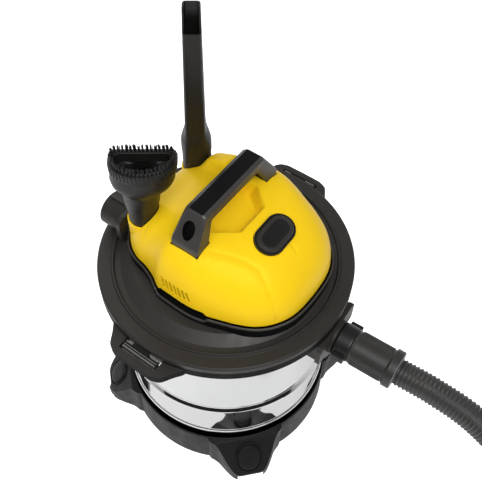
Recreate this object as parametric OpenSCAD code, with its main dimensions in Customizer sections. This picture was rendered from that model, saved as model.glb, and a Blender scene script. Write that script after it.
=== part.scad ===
// Wet and dry shop vacuum: a steel drum on a four-castor base, and a lift-off motor head with
// a carrying handle, a blower port, two stowed nozzles and a suction hose with a bent hand grip.
// Millimetres. The origin is on the floor under the drum's axis. +Z is up and -Y is the front,
// where the hose goes in.

/* [Drum and collar] */
// Outside radius of the steel drum
drum_r = 158.6; // [157:0.1:159]
// Height of the drum's floor
drum_floor_z = 52; // [52:1:54]
// Height of the drum's top edge
drum_top_z = 344; // [343:0.5:344]
// Height of the swaged bead round the drum
bead_z = 189; // [150:1:230]
// Outside radius of the collar and of the lid
rim_r = 180; // [179.5:0.1:180.3]
// Height of the lid's flat rim
rim_z = 360; // [360:0.5:361]
// Reach of the side grips from the axis
grip_r = 203; // [202:0.5:205]

/* [Motor head] */
// Height of the head cover's lower edge
cover_z = 388; // [387:0.5:389]
// Height of the dome above that edge
dome_h = 82; // [80:0.5:84]
// Height of the top of the carrying handle
handle_z = 512; // [505:1:516]
// Length of the straight grip of the handle
handle_len = 123; // [118:1:126]
// How far the on-off button travels
button_travel = 3; // [1:0.5:3]

/* [Ports] */
// Height of the suction inlet's axis
inlet_z = 309; // [306:0.5:309]
// Radius of the bores that take a hose end or a nozzle
tube_r = 20; // [19.5:0.1:20]
// Height of the blower port's axis
port_z = 389; // [389:0.5:391]
// Distance of the blower port's axis from the middle plane
port_x = 46; // [44:0.5:48]
// Reach of the blower port's mouth behind the axis
port_reach = 166; // [160:0.5:170]

/* [Castors] */
// Angle of the first castor arm
castor_angle = 47; // [45:1:49]
// Distance of the castor pivots from the drum's axis
castor_pivot_r = 180; // [179:0.5:181]
// Radius of a castor wheel
wheel_r = 16.5; // [16:0.25:16.5]
// How far the wheel trails behind its pivot
castor_trail = 14; // [12:0.5:14]

/* [Nozzles] */
// Distance of each nozzle socket from the middle plane
socket_x = 57; // [56.5:0.5:58]
// Distance of the nozzle sockets behind the axis
socket_y = 92; // [92:0.5:94]
// Height of the crevice nozzle's tip
crevice_top = 690; // [660:1:700]
// Height of the brush nozzle's face
brush_face = 541; // [536:1:543]

/* [Hose] */
// Outside radius of the hose
hose_r = 19; // [18:0.5:19]
// Outside radius of the hose cuff
cuff_r = 24; // [23:0.5:24]

/* [Hidden] */
$fn = 96;
hull_fn = 32;
charcoal = "#3a3836";
black = "#1d1c1b";
yellow = "#f7cf1b";
steel = "#d5d7d8";
zinc = "#a9abad";
rubber = "#262524";
foam = "#55524d";
copper = "#b4643a";

gap = 0.3;             // between parts of different bodies
slip = 0.05;           // radial clearance of a running fit
drum_wall = 1;
collar_z = 335;        // underside of the collar
seat_z = 350;          // where the lid sits on the collar
inlet_mouth_y = 187;   // face of the inlet socket, in front of the axis
inlet_turn = 2;        // the inlet points this far round from -Y
cuff_end_y = 276;      // where the hose leaves its cuff
deck_z = 331;          // underside of the lid's floor, above the filter
well_r = 97;           // the motor well in the lid
intake_r = 18;
switch_at = [0, -76, 463];
switch_tilt = 18;
switch_drop = button_travel + 9;
latch_pivot = [187, 0, 341];
slot_half = 30;        // half the length of the slot in each side grip
castor_top_z = 45;     // underside of the castor arms
castor_rest = -25;     // how far the parked castors are turned
wheel_room_z = 35;     // top of the room that a wheel sweeps
arm_top_z = 60;
arm_slope = 53.7;      // fall of the castor arms, in degrees
foot_z = 460;          // underside of the handle's feet
base_r = 167;
nozzle_turn = -53;
brush_side = 7.3;
float_r = 22;
float_z = 250.3;
grip_tube_r = 21;
grip_arc = 35;
grip_bend_r = 200;

// The suction hose's centre line, from the cuff down to the floor and round to the hand grip.
hose_route = [
    [9.6, -275.8, 309], [11.5, -331, 309], [12, -388, 300], [7, -446, 275], [-5, -500, 240],
    [-27, -550, 198], [-60, -592, 153], [-105, -624, 110], [-161, -641, 72], [-223, -638, 42],
    [-286, -613, 24], [-336, -571, 19], [-369, -513, 19], [-385, -448, 19], [-376, -388, 19],
    [-347, -338, 19], [-303, -302, 19], [-249, -282.5, 19], [-191, -282.5, 19],
    [-142, -299.5, 19]];
grip_start = concat([for (k = [0:1]) hose_route[len(hose_route) - 1][k]], 22.4);
hose_last = hose_route[len(hose_route) - 1] - hose_route[len(hose_route) - 2];
grip_heading = atan2(hose_last.y, hose_last.x);

// One half of the head cover's lower edge, from the front round to the back.
cover_half = [
    [0, -142], [38, -139], [64, -128], [83, -111], [95, -90], [103, -68], [110, -46], [114, -24],
    [114, 4], [112, 27], [102, 45], [95, 63], [90, 84], [79, 103], [61, 117], [34, 123]];
cover_edge = concat(cover_half, [[0, 123]],
    [for (i = [len(cover_half) - 1:-1:1]) [-cover_half[i].x, cover_half[i].y]]);

// ---- shared functions ----

// A closed smooth curve through points, with n steps between each two.
function smooth_loop(p, n) = let (c = len(p)) [for (i = [0:c - 1], k = [0:n - 1])
    let (a = p[(i + c - 1) % c], b = p[i], d = p[(i + 1) % c], e = p[(i + 2) % c], t = k / n)
    0.5 * (2 * b + t * (d - a) + t * t * (2 * a - 5 * b + 4 * d - e)
        + t * t * t * (3 * b - a - 3 * d + e))];

// A polygon's points with each corner softened over the distance d.
function soften(p, d, n = 4) = let (c = len(p)) [for (i = [0:c - 1])
    let (m = p[i], a = p[(i + c - 1) % c] - m, b = p[(i + 1) % c] - m,
        u = m + a * min(d / norm(a), 0.45), v = m + b * min(d / norm(b), 0.45))
    for (k = [0:n]) let (t = k / n) (1 - t) * (1 - t) * u + 2 * t * (1 - t) * m + t * t * v];

function grown(p, d) = [for (q = p) q * (1 + d / norm(q))];

function unit(v) = v / norm(v);

cover_outline = smooth_loop(cover_edge, 3);

// How square the dome's side is in the direction of a point: soft in front, upright at the sides.
function squareness(q) = let (s = abs(q.x) / norm(q), lean = q.y > 0 ? 2.3 : 2.9)
    lean + (7 - lean) * pow(s, 5);

// A tube of radius r swept along a route, as one closed polyhedron.
module sweep(route, r, sides) {
    n = len(route);
    ahead = [for (i = [0:n - 1]) unit(route[min(i + 1, n - 1)] - route[max(i - 1, 0)])];
    side = [for (t = ahead) unit(cross(abs(t.z) < 0.9 ? [0, 0, 1] : [1, 0, 0], t))];
    rim = [for (i = [0:n - 1], k = [0:sides - 1])
        let (a = 360 * (k + 0.5) / sides)
        route[i] + r * (cos(a) * side[i] + sin(a) * cross(ahead[i], side[i]))];
    skin = [for (i = [0:n - 2], k = [0:sides - 1])
        let (a = i * sides + k, b = i * sides + (k + 1) % sides)
        [a + sides, b + sides, b, a]];
    polyhedron(rim, concat(skin, [[for (k = [0:sides - 1]) k],
        [for (k = [sides - 1:-1:0]) (n - 1) * sides + k]]), convexity = 6);
}

// ---- shared shapes ----

module spin(points) rotate_extrude() polygon(points);

module ring(r_out, r_in, z_low, z_high)
    spin([[r_in, z_low], [r_out, z_low], [r_out, z_high], [r_in, z_high]]);

// A cylinder along Y, from y_low to y_high.
module along_y(r, y_low, y_high)
    translate([0, y_high, 0]) rotate([90, 0, 0]) cylinder(r = r, h = y_high - y_low);

module stadium(length, width, height) {
    cube([length - width, width, height], center = true);
    for (x = [-1, 1]) translate([x * (length - width) / 2, 0, 0])
        cylinder(d = width, h = height, center = true);
}

module four_arms() for (i = [0:3]) rotate(castor_angle + 90 * i) children();

module at_castor(i) rotate(castor_angle + 90 * i) translate([castor_pivot_r, 0, 0])
    rotate(castor_rest - castor_angle - 90 * i) children();

module both_sides() { children(); mirror([1, 0, 0]) children(); }

module at_socket(side) translate([side * socket_x, socket_y, 0]) children();

module at_switch() translate(switch_at) rotate([switch_tilt, 0, 0]) children();

module at_inlet() rotate(inlet_turn) translate([0, 0, inlet_z]) children();

module at_port() translate([-port_x, 0, port_z]) children();

// ---- drum and base ----

module drum() color(steel) difference() {
    union() {
        spin([[0, drum_floor_z], [drum_r, drum_floor_z], [drum_r, drum_top_z],
            [drum_r - drum_wall, drum_top_z], [drum_r - drum_wall, drum_floor_z + drum_wall],
            [0, drum_floor_z + drum_wall]]);
        for (z = [bead_z, 116])
            translate([0, 0, z]) rotate_extrude() translate([drum_r - 0.3, 0]) circle(r = 1.5);
    }
    at_inlet() along_y(tube_r + 3, -drum_r - 5, -100);
    for (a = [45:90:315]) rotate(a) translate([110, 0, drum_floor_z - 1]) cylinder(r = 2.6, h = 4);
}

module grip_plan() polygon(soften([[150, -60], [171, -60], [181, -52], [198, -42], [grip_r, -30],
    [grip_r + 0.5, 0], [grip_r, 30], [198, 42], [181, 52], [171, 60], [150, 60]], 5));

module drum_collar() color(charcoal) difference() {
    union() {
        spin([[drum_r + 0.2, collar_z], [rim_r - 1, collar_z], [rim_r, collar_z + 1],
            [rim_r, seat_z], [drum_r - 7, seat_z], [drum_r - 7, seat_z - 12],
            [drum_r - 1.3, seat_z - 12], [drum_r - 1.3, drum_top_z + 0.2],
            [drum_r + 0.2, drum_top_z + 0.2]]);
        both_sides() difference() {
            translate([0, 0, 322]) linear_extrude(24) grip_plan();
            translate([0, 0, 300]) cylinder(r = rim_r - 2, h = 60);
        }
        both_sides() difference() {
            translate([0, 0, 322]) linear_extrude(13.5) grip_plan();
            translate([0, 0, 300]) cylinder(r = drum_r + 0.2, h = 60);
        }
    }
    both_sides() {
        translate([175.5, -slot_half, 300]) cube([18, 2 * slot_half, 60]);
        translate([172, -slot_half, 300]) cube([15, 2 * slot_half, 34]);
        translate([latch_pivot.x, 0, latch_pivot.z]) along_y(2, -slot_half - 6, slot_half + 6);
    }
}

module latch() color(black) translate([latch_pivot.x, 0, latch_pivot.z]) difference() {
    union() {
        rotate([90, 0, 0]) linear_extrude(2 * slot_half - 3, center = true)
            polygon([[-3.8, -16], [-1, -18], [3.6, -16], [3.6, 4.5], [0, 6], [-3.8, 6]]);
        for (x = [-2.8, -0.4, 2]) translate([x, -slot_half + 4, 4])
            cube([1.2, 2 * slot_half - 8, 3 - x / 4]);
        translate([-5.4, -13, 5]) cube([3.6, 26, 9]);
        translate([-6.3, -13, 11.5]) cube([2, 26, 2.5]);
    }
    along_y(2 + slip, -40, 40);
}

module latch_left() mirror([1, 0, 0]) latch();

module latch_right() latch();

module latch_pins() color(zinc) both_sides()
    translate([latch_pivot.x, 0, latch_pivot.z]) along_y(2, -slot_half - 5.5, slot_half + 5.5);

module inlet_socket() color(charcoal) difference() {
    union() {
        rotate(inlet_turn) intersection() {
            translate([-42, -178, 270]) cube([84, 30, collar_z - gap - 270]);
            union() {
                translate([0, 0, inlet_z]) along_y(34, -178, -140);
                translate([-42, -178, inlet_z - 12]) cube([84, 30, 40]);
            }
        }
        rotate(inlet_turn) translate([0, -176, 0]) rotate([90, 0, 0]) linear_extrude(7)
            intersection() {
                union() {
                    translate([0, inlet_z]) circle(r = 34);
                    polygon(soften([[-47, inlet_z - 14], [47, inlet_z - 14],
                        [47, collar_z - gap], [-47, collar_z - gap]], 8));
                }
                translate([-60, 200]) square([120, collar_z - gap - 200]);
            }
        at_inlet() along_y(tube_r + 5, -inlet_mouth_y, -180);
    }
    translate([0, 0, inlet_z - 50]) cylinder(r = drum_r + 0.2, h = 100);
    at_inlet() along_y(tube_r, -inlet_mouth_y - 1, -140);
}

module inlet_deflector() color(black) at_inlet() difference() {
    along_y(tube_r + 2.6, -drum_r + 2.4, -120);
    along_y(tube_r, -drum_r, -123);
    translate([-30, -146, -40]) cube([60, 23, 32]);
    translate([0, 0, -inlet_z]) difference() {
        translate([-50, -200, inlet_z - 50]) cube([100, 60, 100]);
        cylinder(r = drum_r - drum_wall - 0.2, h = 400);
    }
}

module arm_plan() polygon(soften([[150, -60], [160, -59], [170, -47], [187, -37], [200, -28],
    [205.5, -20], [205.5, 20], [200, 28], [187, 37], [170, 47], [160, 59], [150, 60]], 6));

// The arms' shape from the side: they fall away from the base's upper edge.
module arm_side() rotate([90, 0, 0]) linear_extrude(140, center = true)
    polygon([[140, 20], [208, 20], [208, 35.4], [167.5, 90.5], [163.8, 90.9], [140, 90.9]]);

module wheel_base() color(charcoal) difference() {
    union() {
        spin([[60, 47], [161.5, 47], [163.5, 18], [base_r, 18], [base_r + 0.4, 24],
            [base_r - 0.6, 60], [165.4, 88], [164.6, 90.6], [163.4, 91.2], [162.6, 90.4],
            [162.6, drum_floor_z - 0.2], [60, drum_floor_z - 0.2]]);
        difference() {
            four_arms() intersection() {
                translate([0, 0, 20]) linear_extrude(80) arm_plan();
                arm_side();
            }
            translate([0, 0, 10]) cylinder(r = 162.6, h = 100);
        }
    }
    for (i = [0:3]) at_castor(i) {
        cylinder(r = castor_trail + wheel_r + 1.5, h = wheel_room_z);
        translate([0, 0, wheel_room_z - 0.1])
            cylinder(r1 = 20.5, r2 = 18, h = castor_top_z - wheel_room_z + 0.1);
        cylinder(r = 4.1, h = arm_top_z - 2);
    }
    for (a = [45:90:315]) rotate(a) translate([110, 0, 40]) cylinder(r = 1.9, h = 20);
}

module castor_caps() color(black) four_arms() translate([188.05, 0, 64.8])
    rotate([0, arm_slope, 0]) stadium(53, 42, 2.4);

module castor_stems() color(zinc) for (i = [0:3]) at_castor(i)
    translate([0, 0, 37]) cylinder(r = 4, h = arm_top_z - 40);

module base_screws() color(zinc) for (a = [45:90:315]) rotate(a) translate([110, 0, 0]) {
    translate([0, 0, drum_floor_z - 4.8]) cylinder(r = 1.8, h = 7);
    translate([0, 0, drum_floor_z + drum_wall + 0.1]) cylinder(r = 5, h = 2.4);
}

module castor_fork(i) color(charcoal) at_castor(i) difference() {
    union() {
        translate([0, 0, 41.5]) cylinder(r = 15, h = castor_top_z - gap - 41.5);
        translate([0, 0, 36.8]) cylinder(r = 8, h = castor_top_z - gap - 36.8);
        for (y = [-11.6, 8.1]) translate([0, y + 3.5, 0]) rotate([90, 0, 0]) linear_extrude(3.5)
            polygon(soften([[9, castor_top_z - gap], [-13, castor_top_z - gap], [-14.5, 36],
                [-castor_trail - 8, 29], [-castor_trail - 8, wheel_r - 5.5],
                [-castor_trail + 6, wheel_r - 5.5], [9, 36]], 3));;
    }
    translate([0, 0, 30]) cylinder(r = 4 + slip, h = 20);
    translate([-castor_trail, 0, wheel_r]) along_y(2.6, -20, 20);
}

module castor_wheel(i) color(black) at_castor(i)
    translate([-castor_trail, 0, wheel_r]) difference() {
        union() {
            along_y(wheel_r - 1.5, -7.5, 7.5);
            along_y(wheel_r, -6, 6);
        }
        along_y(2.5 + slip, -10, 10);
        for (y = [-10, 5.5]) difference() {
            along_y(wheel_r - 5, y, y + 4.5);
            along_y(5.5, y - 1, y + 6);
        }
    }

module castor_axle(i) color(zinc) at_castor(i) translate([-castor_trail, 0, wheel_r])
    along_y(2.5, -12.4, 12.4);

// ---- lid and head ----

module lid_deck() color(charcoal) difference() {
    union() {
        spin([[rim_r, seat_z + gap], [rim_r, rim_z - 2.5], [rim_r - 2.5, rim_z],
            [160.5, rim_z], [159.5, rim_z + 2.6], [156.5, rim_z + 2.6], [155.5, rim_z - 1],
            [147.5, rim_z - 1], [132, rim_z + 8.5], [well_r, rim_z + 10], [well_r, 334.5],
            [intake_r, 334.5], [intake_r, deck_z], [well_r + 3.5, deck_z],
            [well_r + 3.5, rim_z + 6], [131, rim_z + 5], [147, rim_z - 4.2], [163, rim_z - 4.2],
            [163, seat_z + gap]]);
        translate([0, 0, rim_z - 3]) linear_extrude(cover_z - 2 - rim_z + 3) difference() {
            polygon(grown(cover_outline, 4));
            polygon(grown(cover_outline, 0.5));
        }
    }
    ring(171, 166.5, seat_z, seat_z + 3.2);
    both_sides() translate([90, -31, 373]) cube([40, 60, 9]);
    translate([-port_x - 33, 110, rim_z + 9]) cube([66, 40, 40]);
    translate([port_x, 110, 377]) along_y(6.3, 0, 30);
    at_port() along_y(tube_r + 5.6, 125, 175);
}

module lid_gasket() color(rubber) ring(170.6, 166.9, seat_z + gap, seat_z + 3);

// The space inside the dome's skin: inset is how far the skin lies in from the outline.
module dome(inset, z_low) {
    edge = grown(cover_outline, -inset);
    n = len(edge);
    steps = [for (a = [0:9:72]) a];
    top = dome_h - inset;
    levels = concat([[z_low, 0]], [for (a = steps) [cover_z + top * sin(a), a]]);
    points = concat([for (l = levels, q = edge) let (s = pow(cos(l[1]), 2 / squareness(q)))
        [q.x * s, q.y * s, l[0]]], [[0, 0, cover_z + top]]);
    last = (len(levels) - 1) * n;
    skin = [for (i = [0:len(levels) - 2], k = [0:n - 1])
        let (a = i * n + k, b = i * n + (k + 1) % n) each [[a + n, b + n, b], [a + n, b, a]]];
    polyhedron(points, concat(skin, [[for (k = [0:n - 1]) k]],
        [for (k = [0:n - 1]) [last + k, last + n, last + (k + 1) % n]]), convexity = 6);
}

// The hollow for the fingers, in front of and under the handle.
module finger_hollow(inset) hull() {
    translate([0, 0, 480]) linear_extrude(1)
        polygon(soften([[-30 - inset, -48 - inset], [30 + inset, -48 - inset],
            [62 + inset, -14], [62 + inset, 24 + inset], [-62 - inset, 24 + inset],
            [-62 - inset, -14]], 8));
    translate([0, 0, 450 - inset]) linear_extrude(1)
        polygon(soften([[-22 - inset, -34 - inset], [22 + inset, -34 - inset],
            [50 + inset, -8], [50 + inset, 12 + inset], [-50 - inset, 12 + inset],
            [-50 - inset, -8]], 8));
}

module head_cover() color(yellow) difference() {
    union() {
        difference() {
            dome(0, cover_z - 1.7);
            finger_hollow(0);
            difference() { dome(3, cover_z - 3); finger_hollow(3); }
        }
        for (side = [-1, 1]) at_socket(side) translate([0, 0, 392.4]) cylinder(r = 22.4, h = 39.6);
        both_sides() translate([64, -22, foot_z - 8]) cube([16, 44, 8.5]);
    }
    for (side = [-1, 1]) at_socket(side) {
        translate([0, 0, 396]) cylinder(r = tube_r + slip, h = 60);
        translate([0, 0, 432]) cylinder(r = 30, h = 40);
    }
    at_switch() translate([0, 0, -4]) stadium(65.4, 40.9, 30);
    both_sides() translate([60.7, -21.3, foot_z - gap]) cube([26.6, 42.6, 40]);
    both_sides() for (y = [-12, 12]) translate([74, y, 440]) cylinder(r = 1.9, h = 30);
    both_sides() for (k = [0:6]) translate([111, -21 + 6.5 * k, 405]) rotate([-22, 0, 0])
        cube([16, 3.4, 16], center = true);
    translate([-port_x - 33, 121.5, 380]) cube([66, 20, 40]);
}

module carry_handle() color(charcoal) difference() {
    knee = handle_len / 2;
    intersection() {
        rotate([90, 0, 0]) linear_extrude(60, center = true) polygon(soften([
            [-87, foot_z], [-87, 471], [-knee, handle_z], [knee, handle_z], [87, 471],
            [87, foot_z], [61, foot_z], [61, 470], [knee - 14, handle_z - 17],
            [-knee + 14, handle_z - 17], [-61, 470], [-61, foot_z]], 4));
        rotate([90, 0, 90]) linear_extrude(200, center = true) polygon(soften([
            [-21, foot_z - 1], [21, foot_z - 1], [21, 470], [16, handle_z - 15], [16, handle_z + 1],
            [-16, handle_z + 1], [-16, handle_z - 15], [-21, 470]], 3));
    }
    both_sides() translate([74, 0, 491]) rotate([0, 58, 0]) stadium(27, 16, 14);
    both_sides() for (y = [-12, 12]) translate([74, y, 450]) cylinder(r = 1.9, h = 22);
}

module handle_screws() color(zinc) both_sides() for (y = [-12, 12]) translate([74, y, 0]) {
    translate([0, 0, foot_z - 11]) cylinder(r = 4, h = 2.6);
    translate([0, 0, foot_z - 9]) cylinder(r = 1.8, h = 18);
}

module switch_bezel() color(black) at_switch() translate([0, 0, -3]) difference() {
    stadium(65, 40.5, 10);
    stadium(61.2, 36.7, 12);
}

module switch_button() color(charcoal) at_switch() difference() {
    union() {
        translate([0, 0, -2]) stadium(60, 35.5, 10);
        translate([0, 0, 3.6]) stadium(56.5, 32, 1.4);
    }
    translate([0, 0, -10]) cylinder(r = 9, h = 10);
}

module switch_body() color(black) at_switch() translate([-22, -13, -switch_drop - 13])
    cube([44, 26, 13]);

module switch_spring() color(zinc) at_switch()
    sweep([for (k = [0:40]) [6.5 * cos(36 * k), 6.5 * sin(36 * k), 0.9 - switch_drop + 0.18 * k]],
        0.6, 6);

module blower_port() color(charcoal) at_port() difference() {
    union() {
        translate([0, 129, 0]) rotate([90, 0, 0]) linear_extrude(7)
            polygon(soften([[-32, rim_z + 9.3 - port_z], [32, rim_z + 9.3 - port_z], [32, 28],
                [-32, 28]], 12));
        along_y(tube_r + 5.3, 128, port_reach);
        translate([-3, 128, tube_r + 4]) cube([6, port_reach - 132, 4]);
    }
    along_y(tube_r, 110, port_reach + 1);
    rotate([0, 125, 0]) {
        translate([-3.5, port_reach - 24, 10]) cube([7, 30, 20]);
        translate([-3.5, port_reach - 24, 10]) cube([18, 7, 20]);
    }
}

module cable_gland() color(rubber) translate([port_x, 0, 377]) difference() {
    union() {
        along_y(6.2, 118, 134);
        along_y(9, 130.5, 134);
    }
    along_y(3.5, 110, 140);
}

// ---- motor ----

module motor_casing() color(black) difference() {
    ring(72.5, 70, 334.7, 434);
    for (a = [0:45:315]) rotate(a) translate([60, -9, 385]) cube([20, 18, 34]);
}

module casing_lid() color(black) difference() {
    ring(72.5, 12, 434.2, 436.2);
    for (a = [0:45:315]) rotate(a) translate([40, 0, 430]) cylinder(r = 8, h = 10);
}

module acoustic_foam() color(foam) ring(84, 73.2, 372.5, 430);

module fan_cover() color(steel) spin([[20, 335], [66, 335], [66, 366], [64.8, 366], [64.8, 336.2],
    [20, 336.2]]);

module fan_impeller() color(zinc) difference() {
    union() {
        ring(60, 18, 342, 343);
        ring(60, 4 + slip, 360, 361.2);
        ring(11, 4 + slip, 345, 361);
        for (a = [0:40:320]) rotate(a) translate([20, -0.6, 342.5]) cube([39, 1.2, 18]);
    }
}

module motor_frame() color(zinc) difference() {
    union() {
        ring(64, 11.2, 366.4, 371);
        for (s = [-1, 1]) translate([s * 54 - 4, -9, 370]) cube([8, 18, 60]);
        translate([-58, -9, 424]) cube([116, 18, 7]);
    }
    translate([0, 0, 420]) cylinder(r = 8.2, h = 20);
}

module motor_stator() color(copper) difference() {
    union() {
        ring(46, 26, 377, 406);
        ring(42, 28, 373, 410);
    }
}

module motor_rotor() color(copper) {
    ring(25, 4 + slip, 376, 407);
    ring(13, 4 + slip, 411, 421);
}

module motor_shaft() color(steel) translate([0, 0, 338]) cylinder(r = 4, h = 94);

module motor_bearings() color(zinc) {
    ring(11, 4 + slip, 366.4, 371);
    ring(8, 4 + slip, 424, 431);
}

module carbon_brushes() color(black) for (s = [-1, 1]) translate([s * 23.5, 0, 416])
    cube([20, 7, 6], center = true);

// ---- filter and float ----

module float_cage() color(black) difference() {
    union() {
        ring(57, 54, 226, 328);
        ring(66, intake_r + 2, 326.5, deck_z - 0.1);
        ring(57, 12, 226, 228);
    }
    for (a = [0:45:315]) rotate(a) translate([40, -15, 238]) cube([30, 30, 78]);
    for (a = [0:60:300]) rotate(a) translate([36, 0, 220]) cylinder(r = 9, h = 12);
}

module float_ball() color("white") translate([0, 0, float_z]) difference() {
    sphere(r = float_r);
    sphere(r = float_r - 1.5);
}

module filter_sleeve() color(foam) spin([[0, 219], [65.5, 219], [65.5, 326], [57.5, 326],
    [57.5, 225.5], [0, 225.5]]);

module filter_ring() color(charcoal) ring(68, 65.7, 313, 323);

// ---- nozzles ----

// A flat slice of the crevice nozzle's slim body, long across the view and short along it.
module crevice_slice(z, across, deep) rotate(nozzle_turn) translate([0, 0, z]) linear_extrude(1)
    polygon(soften([[-across / 2, -deep / 2], [across / 2, -deep / 2], [across / 2, deep / 2],
        [-across / 2, deep / 2]], 9));

module crevice_nozzle() color(black) at_socket(1) difference() {
    union() {
        translate([0, 0, 396.3]) cylinder(r = tube_r, h = 75);
        hull() {
            translate([0, 0, 470]) cylinder(r = tube_r + 0.6, h = 14, $fn = hull_fn);
            crevice_slice(515, 27, 34);
        }
        hull() {
            crevice_slice(515, 27, 34);
            crevice_slice(crevice_top - 1, 21.5, 22);
        }
    }
    translate([0, 0, 390]) cylinder(r = tube_r - 2, h = 90);
    hull() {
        translate([0, 0, 479]) cylinder(r = tube_r - 2, h = 1, $fn = hull_fn);
        translate([0, 0, 515]) cylinder(r = 10.8, h = 1, $fn = hull_fn);
    }
    translate([0, 0, 514]) cylinder(r1 = 10.8, r2 = 8, h = 200);
    rotate(nozzle_turn) translate([-30, -39, crevice_top - 34]) rotate([-12, 0, 0]) cube([60, 30, 80]);
}

// The plan of the brush head: round in front and straight behind.
function brush_plan(d) = concat([for (a = [180:12:360]) [(41.5 - d) * cos(a), (31 - d) * sin(a)]],
    [[41.5 - d, 13 - d], [36 - d, 18 - d], [-36 + d, 18 - d], [-41.5 + d, 13 - d]]);

// The head stands a little to one side of its tube.
module at_brush() at_socket(-1) rotate(nozzle_turn) translate([brush_side, 0, 0]) children();

module brush_nozzle() color(black) difference() {
    union() {
        at_socket(-1) translate([0, 0, 396.3]) cylinder(r = tube_r, h = 70);
        hull() {
            at_socket(-1) translate([0, 0, 466]) cylinder(r = tube_r + 1, h = 12, $fn = hull_fn);
            at_brush() translate([0, 0, brush_face - 17]) linear_extrude(4)
                polygon(brush_plan(2));
        }
        at_brush() translate([0, 0, brush_face - 13]) linear_extrude(13) polygon(brush_plan(0));
    }
    at_socket(-1) translate([0, 0, 390]) cylinder(r = 17, h = 82);
    at_socket(-1) translate([0, 0, 470]) cylinder(r = 12, h = 62);
    at_brush() translate([0, 0, brush_face - 14]) linear_extrude(30) polygon(brush_plan(9));
}

module brush_bristles() color(rubber) at_brush() translate([0, 0, brush_face + 0.05]) {
    for (a = [-176:8:-4]) translate([37 * cos(a), 26.5 * sin(a), 0])
        cylinder(r = 1.7, h = 10);
    for (x = [-32:4.92:32]) translate([x, 13.6, 0]) cylinder(r = 1.7, h = 10);
}

// ---- hose ----

module hose_lock_collar() color(black) at_inlet() difference() {
    union() {
        along_y(tube_r - slip, -inlet_mouth_y - 2, -160);
        along_y(tube_r + 5, -209.7, -inlet_mouth_y - gap);
        for (s = [-1, 1]) translate([s * 27 - 4, -209.7, -6]) cube([8, 19, 12]);
    }
    along_y(17.5 + slip, -220, -150);
}

module hose_cuff() color(black) at_inlet() difference() {
    union() {
        along_y(17.5, -214, -162);
        along_y(cuff_r, -264, -210);
        along_y(cuff_r + 3, -cuff_end_y, -263);
        for (a = [0:10:350]) rotate([0, a, 0]) translate([-0.8, -262, cuff_r - 0.6])
            cube([1.6, 50, 1.4]);
    }
    along_y(15, -cuff_end_y - 1, -150);
}

module suction_hose() color(charcoal) sweep(hose_route, hose_r, 12);

module at_grip() translate(grip_start) rotate(grip_heading) children();

module at_grip_end() at_grip() translate([0, -grip_bend_r, 0]) rotate(-grip_arc)
    translate([0, grip_bend_r, 0]) children();

// A tube along the local X axis.
module sleeve(r_out, r_in, x_low, x_high) rotate([0, 90, 0]) ring(r_out, r_in, x_low, x_high);

module hose_grip() color(black) difference() {
    union() {
        at_grip() translate([0, -grip_bend_r, 0]) rotate(90 - grip_arc)
            rotate_extrude(angle = grip_arc) translate([grip_bend_r, 0]) difference() {
                circle(r = grip_tube_r);
                circle(r = 15);
            }
        at_grip() sleeve(grip_tube_r + 1, 15.5, 0, 14);
        at_grip_end() sleeve(grip_tube_r + 1, 15.5, -4, 42);
        at_grip_end() sleeve(17.5, 15, 41, 88);
    }
    at_grip_end() translate([14, -4, 10]) cube([10, 8, 20]);
}

module bleed_slider() color(charcoal) at_grip_end() translate([18, 0, 0]) difference() {
    translate([-10, -7, grip_tube_r]) cube([18, 14, 4]);
    rotate([0, 90, 0]) cylinder(r = grip_tube_r + 1 + gap, h = 60, center = true);
}

drum();
drum_collar();
latch_left();
latch_right();
latch_pins();
inlet_socket();
inlet_deflector();
wheel_base();
castor_caps();
castor_stems();
base_screws();
castor_fork(0);  // castor_fork_1
castor_fork(1);  // castor_fork_2
castor_fork(2);  // castor_fork_3
castor_fork(3);  // castor_fork_4
castor_wheel(0);  // castor_wheel_1
castor_wheel(1);  // castor_wheel_2
castor_wheel(2);  // castor_wheel_3
castor_wheel(3);  // castor_wheel_4
castor_axle(0);  // castor_axle_1
castor_axle(1);  // castor_axle_2
castor_axle(2);  // castor_axle_3
castor_axle(3);  // castor_axle_4
lid_deck();
lid_gasket();
head_cover();
carry_handle();
handle_screws();
switch_bezel();
switch_button();
switch_body();
switch_spring();
blower_port();
cable_gland();
motor_casing();
casing_lid();
acoustic_foam();
fan_cover();
fan_impeller();
motor_frame();
motor_stator();
motor_rotor();
motor_shaft();
motor_bearings();
carbon_brushes();
float_cage();
float_ball();
filter_sleeve();
filter_ring();
crevice_nozzle();
brush_nozzle();
brush_bristles();
hose_lock_collar();
hose_cuff();
suction_hose();
hose_grip();
bleed_slider();
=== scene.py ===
"""Looks for the shop vacuum: detailed pieces, materials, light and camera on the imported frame."""
import math

import bmesh
import bpy
import numpy as np
from mathutils import Matrix, Vector


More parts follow.
